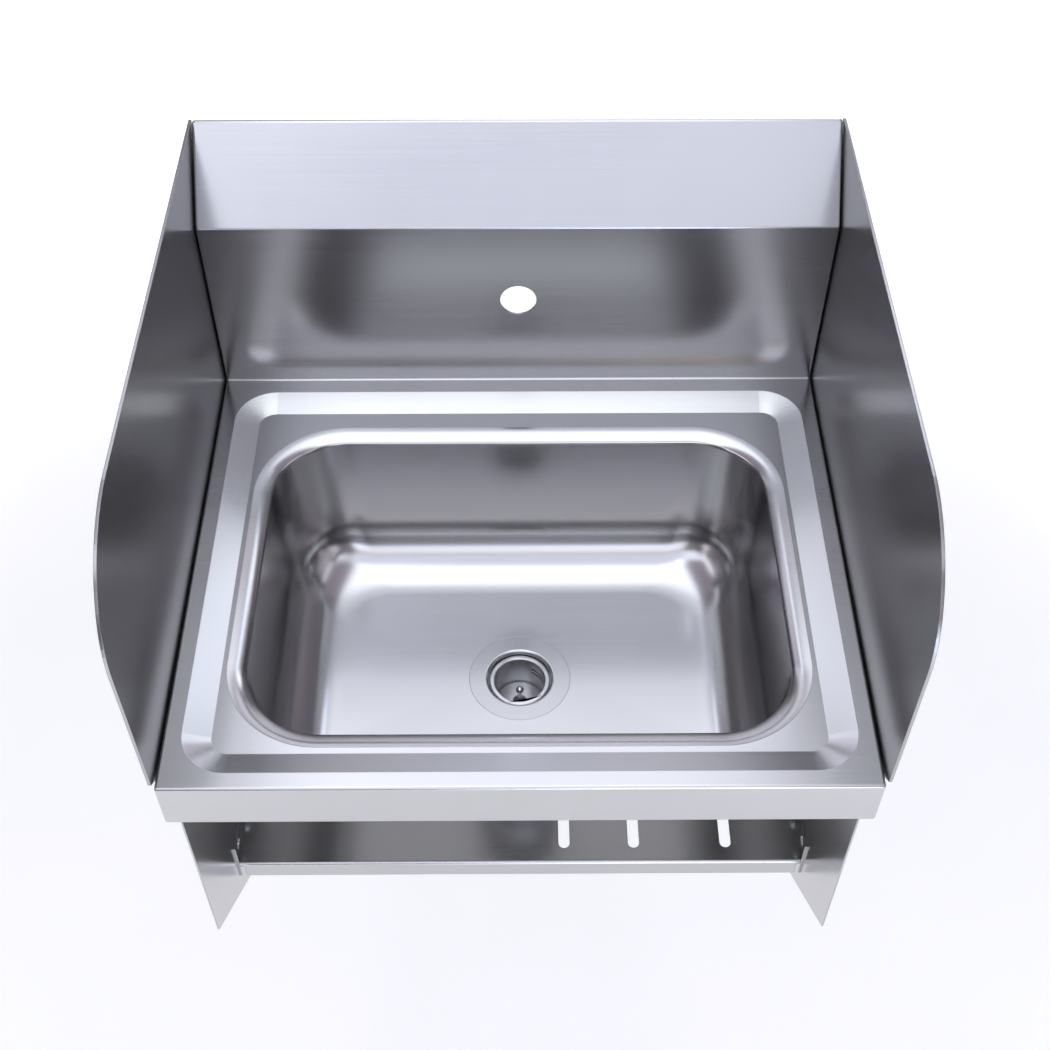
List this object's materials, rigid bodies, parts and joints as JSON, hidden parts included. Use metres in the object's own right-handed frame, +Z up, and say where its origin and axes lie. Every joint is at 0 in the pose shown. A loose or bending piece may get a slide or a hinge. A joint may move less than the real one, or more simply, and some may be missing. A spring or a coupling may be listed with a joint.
{
  "type": "wall hung hand wash sink",
  "caption": "Wall-hung stainless hand wash sink with side splashes, sloped backsplash, lift-out drain basket, side supports and a slotted valve shelf.",
  "frame": {"origin": "centre of the wall hanger's four screw holes, on the wall face", "axes": "+X to the user's right, +Y into the wall, +Z up; the apron faces -Y"},
  "size_m": [0.4416, 0.396, 0.4961],
  "materials": {
    "satin_steel": "satin sheet",
    "drawn_steel": "buffed satin",
    "hanger_steel": "plain mill",
    "bright_steel": "bright",
    "spacer_nylon": "black nylon",
    "polished_steel": "polished",
    "chrome_tube": "plated",
    "cast_zinc": "die cast",
    "black_rubber": "matte",
    "fibre_washer": "hard fibre"
  },
  "bodies": {
    "sink": {"deck_and_backsplash": "satin_steel", "left_side_splash": "satin_steel", "right_side_splash": "satin_steel", "left_support_bracket": "satin_steel", "right_support_bracket": "satin_steel", "valve_shelf": "satin_steel", "left_shelf_end": "satin_steel", "right_shelf_end": "satin_steel", "bowl": "drawn_steel", "wall_hanger": "hanger_steel", "splash_screws": "bright_steel", "splash_nuts": "bright_steel", "splash_spacers": "spacer_nylon", "support_screws": "bright_steel", "support_nuts": "bright_steel", "shelf_screws": "bright_steel", "shelf_nuts": "bright_steel", "drain_body": "polished_steel", "drain_gasket": "black_rubber", "friction_washer": "fibre_washer", "drain_locknut": "cast_zinc", "tailpiece_washer": "black_rubber", "tailpiece": "chrome_tube", "coupling_nut": "chrome_tube"},
    "basket": {"strainer_basket": "polished_steel", "basket_post": "polished_steel", "basket_seal": "black_rubber", "basket_retaining_nut": "bright_steel"}
  },
  "joints": [
    {"name": "basket_lift", "type": "slide", "parent": "sink", "child": "basket", "axis": [0, 0, 1], "range_m": [0, 0.06]}
  ]
}
